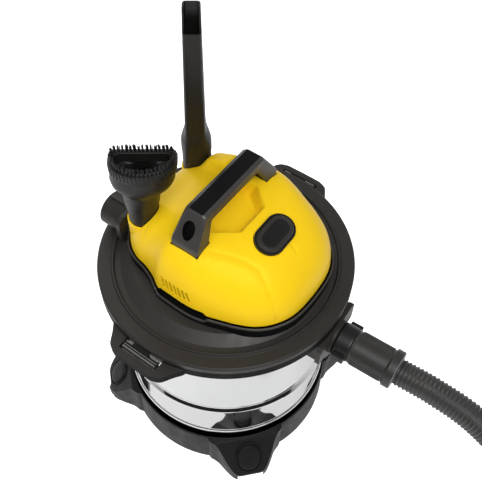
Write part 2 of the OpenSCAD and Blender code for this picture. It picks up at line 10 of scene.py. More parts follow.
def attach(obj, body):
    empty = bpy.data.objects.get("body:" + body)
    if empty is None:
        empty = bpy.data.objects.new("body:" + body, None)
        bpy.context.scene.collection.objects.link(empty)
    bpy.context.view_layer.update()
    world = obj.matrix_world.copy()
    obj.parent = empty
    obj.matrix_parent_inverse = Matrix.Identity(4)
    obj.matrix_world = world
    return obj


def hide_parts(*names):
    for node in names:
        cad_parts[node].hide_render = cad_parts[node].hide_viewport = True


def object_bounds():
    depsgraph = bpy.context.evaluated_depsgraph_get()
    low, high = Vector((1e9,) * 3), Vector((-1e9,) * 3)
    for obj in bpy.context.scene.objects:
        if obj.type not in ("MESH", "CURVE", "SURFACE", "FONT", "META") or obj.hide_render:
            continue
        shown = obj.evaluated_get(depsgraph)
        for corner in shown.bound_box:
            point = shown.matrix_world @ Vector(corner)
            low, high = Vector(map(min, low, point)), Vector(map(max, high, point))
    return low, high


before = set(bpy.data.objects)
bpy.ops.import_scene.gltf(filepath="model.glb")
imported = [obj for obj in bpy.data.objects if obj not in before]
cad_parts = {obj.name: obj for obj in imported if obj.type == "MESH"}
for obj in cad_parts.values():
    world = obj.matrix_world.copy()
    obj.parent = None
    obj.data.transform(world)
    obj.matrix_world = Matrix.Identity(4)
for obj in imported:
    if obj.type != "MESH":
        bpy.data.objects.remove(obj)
cad_box = [[float(c) for c in corner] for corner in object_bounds()]
scene = bpy.context.scene
MM = 0.001

# ---------------------------------------------------------------- camera


def move(x=0.0, y=0.0, z=0.0):
    return Matrix.Translation((x * MM, y * MM, z * MM))


def turn(degrees, axis="Z"):
    return Matrix.Rotation(math.radians(degrees), 4, axis)


camera = bpy.data.objects.new("camera", bpy.data.cameras.new("camera"))
scene.collection.objects.link(camera)
camera.data.lens = 52.28
camera.data.sensor_width = 36
camera.data.clip_start = 0.02
heading, tilt, roll = -55.011, 36.785, 1.102      # tilt is measured up from straight down
camera.matrix_world = (move(-457.6, -344.9, 1155.75) @ turn(heading) @ turn(tilt, "X")
                       @ turn(roll))
scene.camera = camera

# ---------------------------------------------------------------- materials


def node(tree, kind, **values):
    n = tree.nodes.new(kind)
    for key, value in values.items():
        if key in n.inputs:
            n.inputs[key].default_value = value
        else:
            setattr(n, key, value)
    return n


def surface(name, colour, rough, metal=0.0, grain=0.0, grain_size=0.7, wave=0.0, wave_size=40.0,
            mottle=0.0, mottle_size=18.0, spread=0.05, stretch=(1, 1, 1), specular=0.5,
            tint=(1, 1, 1), sheen=0.0):
    """A moulded or metal surface: fine grain and long waves in its bump, roughness that varies."""
    m = bpy.data.materials.new(name)
    m.use_nodes = True
    t = m.node_tree
    b = t.nodes["Principled BSDF"]
    b.inputs["Base Color"].default_value = (*colour, 1)
    b.inputs["Metallic"].default_value = metal
    b.inputs["Roughness"].default_value = rough
    b.inputs["Specular IOR Level"].default_value = specular
    b.inputs["Specular Tint"].default_value = (*tint, 1)
    b.inputs["Sheen Weight"].default_value = sheen
    place = node(t, "ShaderNodeTexCoord")
    warp = node(t, "ShaderNodeMapping")
    warp.inputs["Scale"].default_value = stretch
    t.links.new(place.outputs["Object"], warp.inputs["Vector"])

    def noise(size_mm, detail=3.0):
        n = node(t, "ShaderNodeTexNoise", Scale=1000.0 / size_mm, Detail=detail)
        t.links.new(warp.outputs["Vector"], n.inputs["Vector"])
        return n.outputs["Fac"]

    patch = noise(mottle_size)
    spreader = node(t, "ShaderNodeMapRange")
    spreader.inputs["From Min"].default_value = 0.3
    spreader.inputs["From Max"].default_value = 0.7
    spreader.inputs["To Min"].default_value = max(rough - spread, 0.01)
    spreader.inputs["To Max"].default_value = rough + spread
    t.links.new(patch, spreader.inputs["Value"])
    t.links.new(spreader.outputs["Result"], b.inputs["Roughness"])
    if mottle:
        mix = node(t, "ShaderNodeMix", data_type="RGBA")
        mix.inputs[6].default_value = (*[c * (1 - mottle) for c in colour], 1)
        mix.inputs[7].default_value = (*[min(c * (1 + mottle), 1) for c in colour], 1)
        t.links.new(patch, mix.inputs[0])
        t.links.new(mix.outputs[2], b.inputs["Base Color"])
    last = None
    for strength, size, reach in ((wave, wave_size, 0.4), (grain, grain_size, 0.05)):
        if not strength:
            continue
        bump = node(t, "ShaderNodeBump", Strength=strength, Distance=reach * MM)
        t.links.new(noise(size, 4.0 if size < 5 else 1.0), bump.inputs["Height"])
        if last:
            t.links.new(last, bump.inputs["Normal"])
        last = bump.outputs["Normal"]
    if last:
        t.links.new(last, b.inputs["Normal"])
    return m


MATS = {
    "steel": surface("polished_steel", (0.65, 0.655, 0.655), 0.045, metal=1.0, wave=0.05,
                     wave_size=60, grain=0.04, grain_size=1.2, stretch=(1, 1, 0.12), spread=0.02),
    "dark": surface("dark_plastic", (0.026, 0.0235, 0.021), 0.44, specular=0.32, grain=0.5,
                    grain_size=0.9, mottle=0.10, spread=0.06),
    "black": surface("black_plastic", (0.009, 0.0085, 0.008), 0.40, specular=0.36, grain=0.4,
                     grain_size=0.9, mottle=0.12, spread=0.06),
    # lighter than the other dark plastics: a painted highlight, used on the latch ribs
    "pale": surface("pale_painted_highlight_plastic", (0.15, 0.145, 0.14), 0.36, grain=0.5, grain_size=0.9,
                    mottle=0.1),
    # the handle's own grey; on the lid wall's top it is a painted highlight
    "satin_and_highlight": surface("satin_plastic_and_highlight", (0.040, 0.038, 0.036), 0.34, grain=0.35, grain_size=0.9,
                     mottle=0.1),
    "base": surface("base_plastic", (0.010, 0.0098, 0.0095), 0.46, specular=0.18, grain=0.6,
                    grain_size=1.0, mottle=0.15, spread=0.07),
    # the handle's grip strip; elsewhere near-black as painted shade on the collar and lid walls,
    # the shelf and behind the vents
    "grip": surface("black_grip_and_painted_shade", (0.0030, 0.0030, 0.0032), 0.66, specular=0.12, grain=0.9,
                    grain_size=0.6, mottle=0.15, spread=0.05),
    "yellow": surface("yellow_plastic", (0.95, 0.62, 0.012), 0.36, specular=0.22,
                      tint=(1, 0.75, 0.2), grain=0.22, grain_size=0.8, wave=0.25, wave_size=55,
                      mottle=0.03, spread=0.05),
    "zinc": surface("zinc_steel", (0.55, 0.56, 0.57), 0.34, metal=1.0, grain=0.3, grain_size=0.5,
                    spread=0.08),
    "alloy": surface("cast_alloy", (0.6, 0.61, 0.62), 0.42, metal=1.0, grain=0.4, grain_size=0.6),
    "copper": surface("winding_copper", (0.55, 0.20, 0.06), 0.35, metal=0.9, grain=0.8,
                      grain_size=1.0, stretch=(1, 1, 6), mottle=0.2),
    "rubber": surface("soft_rubber", (0.018, 0.018, 0.018), 0.6, grain=0.5, grain_size=0.8,
                      mottle=0.1),
    "wheel": surface("wheel_plastic", (0.02, 0.02, 0.02), 0.45, grain=0.5, grain_size=0.8,
                     mottle=0.12),
    "hose": surface("hose_plastic", (0.032, 0.031, 0.030), 0.36, grain=0.3, grain_size=0.8,
                    mottle=0.1),
    "bristle": surface("bristle", (0.010, 0.010, 0.010), 0.45, grain=0.2, mottle=0.2,
                       mottle_size=2.0),
    "foam": surface("foam", (0.09, 0.085, 0.08), 0.95, grain=1.0, grain_size=1.6, mottle=0.35,
                    mottle_size=2.0, sheen=0.2),
    "carbon": surface("carbon", (0.02, 0.02, 0.02), 0.6, grain=0.4),
    "white": surface("white_plastic", (0.8, 0.8, 0.78), 0.3, grain=0.1, mottle=0.02),
}

# ---------------------------------------------------------------- mesh helpers


def crisp(mesh, degrees=35):
    """Smooth shading, with the edges sharper than this left sharp."""
    bm = bmesh.new()
    bm.from_mesh(mesh)
    bmesh.ops.recalc_face_normals(bm, faces=bm.faces)
    for f in bm.faces:
        f.smooth = True
    for e in bm.edges:
        e.smooth = len(e.link_faces) == 2 and e.calc_face_angle(0) < math.radians(degrees)
    bm.to_mesh(mesh)
    bm.free()


def solid(name, points, faces, *mats):
    """A new object from points in millimetres."""
    mesh = bpy.data.meshes.new(name)
    mesh.from_pydata([tuple(p) for p in np.asarray(points, float) * MM], [], faces)
    mesh.validate()
    o = bpy.data.objects.new(name, mesh)
    scene.collection.objects.link(o)
    for m in mats:
        mesh.materials.append(MATS[m])
    return o


def settle(o, body, mat, *nodes, degrees=35, flat=True):
    """Shades a piece, hangs it on its body and hides the CAD nodes it stands for."""
    crisp(o.data, degrees)
    if flat:
        w = o.modifiers.new("flat", "WEIGHTED_NORMAL")
        w.keep_sharp, w.weight = True, 80
        baked(o)
    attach(o, body)
    if nodes:
        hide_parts(*nodes)
    return o


def baked(o):
    """Turns an object's modifiers into its mesh."""
    bpy.context.view_layer.update()
    evaluated = o.evaluated_get(bpy.context.evaluated_depsgraph_get())
    mesh = bpy.data.meshes.new_from_object(evaluated)
    o.modifiers.clear()
    o.data = mesh
    return o


def bevel(o, width, segments=2, degrees=30):
    b = o.modifiers.new("bevel", "BEVEL")
    b.width, b.segments, b.limit_method = width * MM, segments, "ANGLE"
    b.angle_limit = math.radians(degrees)
    b.use_clamp_overlap = True
    return o


def cut(o, *cutters):
    """Takes each cutter out of the object and removes the cutter."""
    for c in cutters:
        b = o.modifiers.new("cut", "BOOLEAN")
        b.operation, b.solver, b.object = "DIFFERENCE", "EXACT", c
    baked(o)
    for c in cutters:
        bpy.data.objects.remove(c)
    return o


def joined(name, *objects):
    """Several objects' meshes in one, with their material slots kept apart."""
    bm = bmesh.new()
    mats = []
    for o in objects:
        start = len(bm.faces)
        bm.from_mesh(o.data)
        bm.faces.ensure_lookup_table()
        for f in bm.faces[start:]:
            m = o.data.materials[f.material_index] if o.data.materials else None
            if m not in mats:
                mats.append(m)
            f.material_index = mats.index(m)
    mesh = bpy.data.meshes.new(name)
    bm.to_mesh(mesh)
    bm.free()
    for m in mats:
        mesh.materials.append(m)
    for o in objects:
        bpy.data.objects.remove(o)
    out = bpy.data.objects.new(name, mesh)
    scene.collection.objects.link(out)
    return out


def rounded(points, radius, steps=4):
    """A polyline with its corners rounded. A point may bring its own radius as a third number."""
    out = []
    n = len(points)
    for i, p in enumerate(points):
        r = p[2] if len(p) > 2 else radius
        m = np.array(p[:2], float)
        if r == 0:
            out.append(m)
            continue
        a = np.array(points[i - 1][:2], float) - m
        b = np.array(points[(i + 1) % n][:2], float) - m
        la, lb = np.linalg.norm(a), np.linalg.norm(b)
        half = math.acos(max(-1, min(1, float(a @ b) / (la * lb)))) / 2
        d = min(r / max(math.tan(half), 0.05), la * 0.45, lb * 0.45)
        u, v = m + a / la * d, m + b / lb * d
        for k in range(steps + 1):
            t = k / steps
            out.append((1 - t) ** 2 * u + 2 * t * (1 - t) * m + t * t * v)
    return out


def lathe(name, profile, mat, segments=192, radius=0.5, axis="z"):
    """A ring turned from a closed profile of (radius, height) points with rounded corners."""
    line = rounded(profile, radius)
    n = len(line)
    angles = [2 * math.pi * k / segments for k in range(segments)]
    points = []
    for a in angles:
        c, s = math.cos(a), math.sin(a)
        for r, h in line:
            points.append((r * c, r * s, h) if axis == "z" else (r * c, h, r * s))
    faces = []
    for k in range(segments):
        p, q = k * n, (k + 1) % segments * n
        for i in range(n):
            j = (i + 1) % n
            faces.append((p + i, q + i, q + j, p + j))
    return solid(name, points, faces, mat)


def prism(name, plan, low, high, mat, matrix=None):
    """A plan extruded from low to high, then placed."""
    n = len(plan)
    points = [(p[0], p[1], z) for z in (low, high) for p in plan]
    faces = [tuple(range(n - 1, -1, -1)), tuple(range(n, 2 * n))]
    faces += [(i, (i + 1) % n, n + (i + 1) % n, n + i) for i in range(n)]
    o = solid(name, points, faces, mat)
    if matrix is not None:
        o.data.transform(matrix)
    return o


def block(name, low, high, mat, matrix=None):
    return prism(name, [(low[0], low[1]), (high[0], low[1]), (high[0], high[1]), (low[0], high[1])],
                 low[2], high[2], mat, matrix)


def stadium(length, width, steps=16):
    half, r = (length - width) / 2, width / 2
    return ([(half + r * math.cos(a), r * math.sin(a))
             for a in np.linspace(-math.pi / 2, math.pi / 2, steps)]
            + [(-half + r * math.cos(a), r * math.sin(a))
               for a in np.linspace(math.pi / 2, 3 * math.pi / 2, steps)])


def circle(radius, steps=48):
    return [(radius * math.cos(2 * math.pi * k / steps),
             radius * math.sin(2 * math.pi * k / steps)) for k in range(steps)]


def loft(name, rings, mat, caps=True):
    """A skin over rings of points, each the same length."""
    n = len(rings[0])
    points = [p for ring in rings for p in ring]
    faces = []
    for i in range(len(rings) - 1):
        for k in range(n):
            a, b = i * n + k, i * n + (k + 1) % n
            faces.append((a, b, b + n, a + n))
    if caps:
        faces += [tuple(range(n - 1, -1, -1)), tuple(range((len(rings) - 1) * n, len(rings) * n))]
    return solid(name, points, faces, mat)


def refined(name, width, mat, *nodes, body, without=(), shaded_walls=None):
    """Copies of CAD nodes with their sharp edges rounded, and outer wall faces in the material
    given, as painted shade.
    """
    parts = []
    for n in nodes:
        o = bpy.data.objects.new(n + "_copy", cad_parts[n].data.copy())
        scene.collection.objects.link(o)
        bm = bmesh.new()
        bm.from_mesh(o.data)
        bmesh.ops.remove_doubles(bm, verts=bm.verts, dist=0.002 * MM)
        bmesh.ops.dissolve_limit(bm, angle_limit=math.radians(1.0), verts=bm.verts, edges=bm.edges)
        bm.to_mesh(o.data)
        bm.free()
        o.data.materials.clear()
        o.data.materials.append(MATS[mat])
        parts.append(o)
    o = joined(name, *parts) if len(parts) > 1 else parts[0]
    o.name = name
    if without:
        cut(o, *without)
    baked(bevel(o, width))
    # outer vertical faces past the reach take the second material: painted shade
    if shaded_walls:
        shade_mat, reach = shaded_walls
        o.data.materials.append(MATS[shade_mat])
        for f in o.data.polygons:
            if abs(f.normal.z) < 0.5 and f.center.xy.length > reach * MM:
                f.material_index = 1
    return settle(o, body, mat, *nodes)


# ---------------------------------------------------------------- suction hose

INLET = turn(2) @ move(0, 0, 309)
ROUTE = [(9.6, -275.8, 309), (11.5, -331, 309), (12, -388, 300), (7, -446, 275), (-5, -500, 240),
         (-27, -550, 198), (-60, -592, 153), (-105, -624, 110), (-161, -641, 72), (-223, -638, 42),
         (-286, -613, 24), (-336, -571, 19), (-369, -513, 19), (-385, -448, 19), (-376, -388, 19),
         (-347, -338, 19), (-303, -302, 19), (-249, -282.5, 19), (-191, -282.5, 19),
         (-142, -299.5, 19)]
HOSE_R = 19.0
CUFF_RIBS = 44


def between(a, b, c, d, t):
    """The smooth curve through four points, at a fraction t of the way from b to c."""
    return 0.5 * (2 * b + t * (c - a) + t * t * (2 * a - 5 * b + 4 * c - d)
                  + t ** 3 * (3 * b - a - 3 * c + d))


def smooth_path(points, spacing):
    """An even run of points on a smooth curve through the given ones."""
    p = np.array(points, float)
    p = np.vstack([2 * p[0] - p[1], p, 2 * p[-1] - p[-2]])
    curve = []
    for i in range(1, len(p) - 2):
        a, b, c, d = p[i - 1:i + 3]
        for t in np.linspace(0, 1, 24, endpoint=False):
            curve.append(between(a, b, c, d, t))
    curve.append(p[-2])
    curve = np.array(curve)
    run = np.r_[0, np.cumsum(np.linalg.norm(np.diff(curve, axis=0), axis=1))]
    count = int(round(run[-1] / spacing))
    even = np.linspace(0, run[-1], count + 1)
    out = np.column_stack([np.interp(even, run, curve[:, k]) for k in range(3)])
    # the tube stays above the floor and inside the CAD's own box
    low = np.array([cad_box[0][0] / MM + HOSE_R, cad_box[0][1] / MM + HOSE_R, HOSE_R])
    return np.maximum(out, low), run[-1]


def hose():
    """The ribbed tube on its route."""
    pitch, rows = 5.6, 6
    path, length = smooth_path(ROUTE, pitch / rows)
    ahead = np.gradient(path, axis=0)
    ahead /= np.linalg.norm(ahead, axis=1)[:, None]
    side = np.cross([0, 0, 1.0], ahead)
    side /= np.linalg.norm(side, axis=1)[:, None]
    up = np.cross(ahead, side)
    profile = [0.0, -0.35, -1.5, -1.7, -1.5, -0.35]
    rings = []
    for i, p in enumerate(path):
        r = HOSE_R + profile[i % rows]
        rings.append([p + r * (math.cos(a) * side[i] + math.sin(a) * up[i])
                      for a in np.linspace(0, 2 * math.pi, 40, endpoint=False)])
    o = loft("hose_tube", rings, "hose")
    settle(o, "tank", "hose", "suction_hose", degrees=60, flat=False)
    o.visible_glossy = False


def inlet():
    """The hose's cuff and its lock collar, turned about the inlet's axis, then ribbed."""
    body = lathe("cuff_sleeve", [(15, -276), (27, -276, 1.5), (27, -265, 2), (24, -262.5, 1.5),
                                 (24, -214, 1), (23.2, -210, 0.6), (17.5, -210), (17.5, -162),
                                 (15, -162)], "hose", 96, 0.6, axis="y")
    ribs = []
    for k in range(CUFF_RIBS):
        m = Matrix.Rotation(2 * math.pi * k / CUFF_RIBS, 4, "Y")
        rib = block("rib", (-0.75, -261, 23.4), (0.75, -215, 25.1), "hose", m)
        ribs.append(baked(bevel(rib, 0.35, 1)))
    for k in range(3):
        ribs.append(lathe("ring", [(26.5, -274 + 3.4 * k), (27.6, -273.4 + 3.4 * k),
                                   (27.6, -272.4 + 3.4 * k), (26.5, -271.8 + 3.4 * k)],
                          "hose", 96, 0.2, axis="y"))
    o = joined("hose_cuff_ribbed", body, *ribs)
    o.data.transform(INLET)
    settle(o, "tank", "black", "hose_cuff")
    lock = lathe("lock", [(17.55, -209.7), (24.4, -209.7, 1.0), (25, -207, 0.8), (25, -190, 0.8),
                          (23.6, -187.4, 0.8), (19.95, -187.4), (19.95, -160), (17.55, -160)],
                 "black", 96, 0.5, axis="y")
    lugs = []
    for s in (-1, 1):
        lug = bevel(block("lug", (s * 27 - 4, -209, -6), (s * 27 + 4, -191, 6), "black"), 1.4, 3)
        lugs.append(baked(lug))
        for y in (-205.5, -202, -198.5, -195):
            lugs.append(baked(bevel(block("key", (s * 30.4 - 0.9, y - 0.7, -4.6),
                                          (s * 30.4 + 0.9, y + 0.7, 4.6), "black"), 0.4, 1)))
    o = joined("lock_collar", lock, *lugs)
    o.data.transform(INLET)
    settle(o, "hose_lock", "black", "hose_lock_collar")


hose()
inlet()

# ---------------------------------------------------------------- yellow head cover

HALF = [(0, -142), (38, -139), (64, -128), (83, -111), (95, -90), (103, -68), (110, -46),
        (114, -24), (114, 4), (112, 27), (102, 45), (95, 63), (90, 84), (79, 103), (61, 117),
        (34, 123)]
EDGE = HALF + [(0, 123)] + [(-x, y) for x, y in HALF[:0:-1]]
COVER_Z, DOME_H = 388.0, 82.0
MEAN_HALF = 118.0       # about half the cover's width, for rows at even gaps
SKIN_ROWS = 120
WALL = 2.6              # thickness of the cover's shell
VENTS, VENT_GAP = 7, 6.7
# how square the dome's sides stand: towards the back, the front and the flanks
SQUARE_BACK, SQUARE_FRONT, SQUARE_FLANK = 2.3, 2.9, 7
# soft creases in the skin: a chain of points, how deep it is pressed in, and how far it spreads
CREASES = (
    ([(-71, -29, 466.5), (-60, -51, 464), (-53.5, -70, 460), (-50, -88, 453), (-57, -104, 440),
      (-61, -112, 430)], 1.4, 3.6),
    ([(-78, -31, 463), (-66, -56, 460), (-60, -74, 455), (-62, -90, 447)], -0.8, 6.0),
    ([(-61, -113, 429), (-62, -119, 420), (-65.5, -128, 391)], 1.3, 2.2),
    ([(7, -93, 457), (3, -108, 449)], 1.2, 2.2),
    ([(-74, -34, 465), (-92, -38, 453)], 0.9, 3.0),
    ([(-74, 72, 443), (-86, 71, 427)], 0.9, 1.6))
BOSS_AT, BOSS_HALF, BOSS_TALL = (60, 50), (19, 23), 14
HOLLOW_Z, HOLLOW_DEEP = 450.0, 30
SOCKET_X, SOCKET_Y = 57, 92     # the two nozzle sockets, one each side
LEG_X = 74                      # the middle of each of the handle's feet
ROCKER = move(0, -76, 463) @ turn(18, "X")


def smooth_loop(points, steps):
    """A smooth closed curve through the points, with so many steps from each to the next."""
    p = np.array(points, float)
    n = len(p)
    out = []
    for i in range(n):
        for k in range(steps):
            out.append(between(p[i - 1], p[i], p[(i + 1) % n], p[(i + 2) % n], k / steps))
    return np.array(out)


OUTLINE = smooth_loop(EDGE, 14)


def soft_min(a, b, k):
    """The lesser of two heights, rounded over where they are within k of each other."""
    h = np.clip(k - np.abs(a - b), 0, None) / k
    return np.minimum(a, b) - h * h * k / 4


def soft_max(a, b, k):
    return -soft_min(-a, -b, k)


def step(low, high, x):
    """Goes smoothly from 0 at low to 1 at high."""
    t = np.clip((x - low) / (high - low), 0, 1)
    return t * t * (3 - 2 * t)


def hollow(x, y):
    """Height of the finger hollow's floor and walls over the plan."""
    inner = [(-22, -34), (22, -34), (42, -8), (42, 12), (-42, 12), (-42, -8)]
    outer = [(-29, -47), (29, -47), (52, -14), (52, 24), (-52, 24), (-52, -14)]
    height = np.full_like(x, HOLLOW_Z)
    for i in range(6):
        (ax, ay), (bx, by) = inner[i], inner[(i + 1) % 6]
        length = math.hypot(bx - ax, by - ay)
        nx, ny = (by - ay) / length, -(bx - ax) / length
        ox, oy = outer[i]
        width = (ox - ax) * nx + (oy - ay) * ny
        rise = ((x - ax) * nx + (y - ay) * ny) * HOLLOW_DEEP / width
        height = soft_max(height, HOLLOW_Z + rise, 5.0)
    return height


def near(points, chain):
    """Each point's distance from a chain of 3-D points."""
    best = np.full(len(points), 1e9)
    for a, b in zip(chain[:-1], chain[1:]):
        a, b = np.array(a, float), np.array(b, float)
        t = np.clip((points - a) @ (b - a) / ((b - a) @ (b - a)), 0, 1)
        best = np.minimum(best, np.linalg.norm(points - a - t[:, None] * (b - a), axis=1))
    return best


def cover_skin(inset):
    """The dome's surface as rows of points, from the lower edge up to the crown."""
    size = np.linalg.norm(OUTLINE, axis=1)
    edge = OUTLINE * (1 - inset / size)[:, None]
    share = np.abs(OUTLINE[:, 0]) / size
    lean = np.where(OUTLINE[:, 1] > 0, SQUARE_BACK, SQUARE_FRONT)
    square = lean + (SQUARE_FLANK - lean) * share ** 5
    top = DOME_H - inset
    lift = 6.0 * step(-50, -44, OUTLINE[:, 1]) * (1 - step(22, 27, OUTLINE[:, 1]))
    low = np.column_stack([edge, COVER_Z - 1.7 + lift])
    rows = [low]
    # rows at even gaps over the skin, whatever its curve
    fine = np.radians(np.linspace(0, 90, 600))
    run = np.hypot(np.diff(np.cos(fine) ** 0.6) * MEAN_HALF, np.diff(np.sin(fine)) * top)
    run = np.r_[0, np.cumsum(run)]
    for a in np.interp(np.linspace(0.01, run[-1] * 0.995, SKIN_ROWS), run, fine):
        s = math.cos(a) ** (2 / square)
        z = np.maximum(COVER_Z + top * math.sin(a), low[:, 2] + 0.02 * (1 + a))
        rows.append(np.column_stack([edge * s[:, None], z]))
    grid = np.array(rows)
    flat = grid.reshape(-1, 3)
    x, y = flat[:, 0], flat[:, 1]
    # a raised boss behind the handle, then the hollow for the fingers
    d = (((x - BOSS_AT[0]) / BOSS_HALF[0]) ** 4
         + ((y - BOSS_AT[1]) / BOSS_HALF[1]) ** 4) ** 0.25
    flat[:, 2] += BOSS_TALL * (1 - step(0.62, 1.3, d))
    flat[:, 2] = soft_min(flat[:, 2], hollow(x, y) - inset, 4.0)
    inward = np.column_stack([x, y, (flat[:, 2] - 400) * 0.9])
    inward /= np.linalg.norm(inward, axis=1)[:, None]
    for chain, depth, width in CREASES:
        flat -= inward * (depth * np.exp(-(near(flat, chain) / width) ** 2))[:, None]
    return grid


def head_cover():
    """Two skins joined along the lower edge, with the openings cut and two nozzle cups added."""
    outer, inner = cover_skin(0.0), cover_skin(WALL)
    n = len(OUTLINE)
    rows = len(outer)
    crown = [(0, 0, float(outer[-1][:, 2].mean())), (0, 0, float(inner[-1][:, 2].mean()))]
    points = np.vstack([outer.reshape(-1, 3), inner.reshape(-1, 3), crown])
    half, faces = rows * n, []
    for k in range(n):
        j = (k + 1) % n
        for i in range(rows - 1):
            a, b = i * n + k, i * n + j
            faces.append((a, b, b + n, a + n))
            faces.append((half + a, half + a + n, half + b + n, half + b))
        faces.append((k, half + k, half + j, j))
        a, b = (rows - 1) * n + k, (rows - 1) * n + j
        faces += [(a, b, 2 * half), (half + b, half + a, 2 * half + 1)]
    o = solid("yellow_cover", points, faces, "yellow")
    tools = [prism("c", stadium(65.4, 40.9), -24, 20, "yellow", ROCKER)]
    for s in (-1, 1):
        socket = move(s * SOCKET_X, SOCKET_Y)
        tools.append(prism("c", circle(21.2, 64), 390, 480, "yellow", socket))
        tools.append(block("c", (s * LEG_X - 13.4, -21.5, 440), (s * LEG_X + 13.4, 21.5, 500),
                           "yellow"))
        for k in range(VENTS):
            m = move(s * 113, -23 + VENT_GAP * k, 409) @ turn(-20, "X")
            tools.append(block("c", (-9, -2.1, -9), (9, 2.1, 9), "yellow", m))
    tools.append(block("c", (-79, 121.5, 380), (-13, 141, 417), "yellow"))
    cut(o, *tools)
    cups = []
    for s in (-1, 1):
        cup = lathe("cup", [(0.01, 392.4), (22.4, 392.4), (22.4, 434), (20.2, 434), (20.2, 396),
                            (0.01, 396)], "yellow", 64, 0.3)
        cup.data.transform(move(s * SOCKET_X, SOCKET_Y))
        cups.append(cup)
    o = joined("yellow_cover", o, *cups)
    return settle(o, "lid", "yellow", "head_cover", degrees=38, flat=False)


head_cover()


def handle():
    """The carrying handle: a chamfered bar on splayed legs, with a dark grip strip on top."""
    # each station: the outer and inner edges as (x, z), half the width, and the chamfer
    stations = [((-87, 457), (-61, 457), 21, 3), ((-87, 469), (-61, 468), 21, 3),
                ((-85, 475), (-60, 472), 20.6, 3), ((-63.5, 508.5), (-50, 491), 16.4, 4.5),
                ((-60, 512), (-47, 495), 16, 5.2), ((60, 512), (47, 495), 16, 5.2),
                ((63.5, 508.5), (50, 491), 16.4, 4.5), ((85, 475), (60, 472), 20.6, 3),
                ((87, 469), (61, 468), 21, 3), ((87, 457), (61, 457), 21, 3)]
    rings = []
    for (ox, oz), (ix, iz), w, c in stations:
        reach = math.hypot(ox - ix, oz - iz)
        ux, uz = (ix - ox) / reach, (iz - oz) / reach
        rings.append([(ox, -w + c, oz), (ox + ux * c * 0.7, -w, oz + uz * c * 0.7),
                      (ix - ux * 2, -w, iz - uz * 2), (ix, -w + 2, iz), (ix, w - 2, iz),
                      (ix - ux * 2, w, iz - uz * 2), (ox + ux * c * 0.7, w, oz + uz * c * 0.7),
                      (ox, w - c, oz)])
    o = loft("carry_handle_bar", rings, "satin_and_highlight")
    bevel(o, 1.6, 2, 16)
    baked(o)
    pockets = [move(s * 74.8, 0, 490) @ turn(s * 58.5, "Y") for s in (-1, 1)]
    egg = [(13.5 * math.cos(a), (8.6 + 0.9 * math.cos(a)) * math.sin(a))
           for a in np.linspace(0, 2 * math.pi, 48, endpoint=False)]
    cut(o, *[prism("c", [(-s * x, y) for x, y in egg][::-s], -8, 9, "satin_and_highlight", m)
             for s, m in zip((-1, 1), pockets)])
    mesh = o.data
    mesh.materials.append(MATS["grip"])
    backs = [m.inverted() for m in pockets]
    for f in mesh.polygons:
        if f.normal.z > 0.97 and f.center.z > 505 * MM and abs(f.center.x) < 62 * MM:
            f.material_index = 1
        for b in backs:
            c = b @ f.center
            if abs(c.x) < 13.8 * MM and abs(c.y) < 9.8 * MM and c.z < -0.8 * MM:
                f.material_index = 1
    return settle(o, "lid", "satin_and_highlight", "carry_handle", degrees=25)


handle()


def rocker():
    """The button and its bezel, laid on the cover's slope."""
    def layered(name, sizes, mat):
        rings = [[(x, y, z) for x, y in stadium(length, width, 20)] for length, width, z in sizes]
        o = loft(name, rings, mat)
        o.data.transform(ROCKER)
        return o

    button = layered("rocker_button", [(60, 35.5, -7), (60, 35.5, 1.6), (59.2, 34.7, 2.6),
                                       (54.4, 29.9, 5.0), (53, 28.5, 5.2), (46, 22, 4.2),
                                       (20, 6, 4.0)], "dark")
    # the button's flat top takes a darker plastic than its sloping edges: painted shade
    button.data.materials.append(MATS["base"])
    up = ROCKER.to_3x3() @ Vector((0, 0, 1))
    for f in button.data.polygons:
        if f.normal.normalized().dot(up) > 0.985:
            f.material_index = 1
    settle(button, "button", "dark", "switch_button", degrees=50)
    outer, inner = stadium(65, 40.5, 20), stadium(61.2, 36.7, 20)
    rings = []
    outer_lip = [(a * 0.99, b * 0.985) for a, b in outer]
    inner_lip = [(a * 1.006, b * 1.01) for a, b in inner]
    for plan, z in ((inner, -8), (outer, -8), (outer, 1.2), (outer_lip, 2), (inner_lip, 2),
                    (inner, 1.4)):
        rings.append([(x, y, z) for x, y in plan])
    rings.append(rings[0])
    bezel = loft("switch_bezel_ring", rings, "black", caps=False)
    bezel.data.transform(ROCKER)
    settle(bezel, "lid", "black", "switch_bezel", degrees=40)


rocker()

# ---------------------------------------------------------------- lid


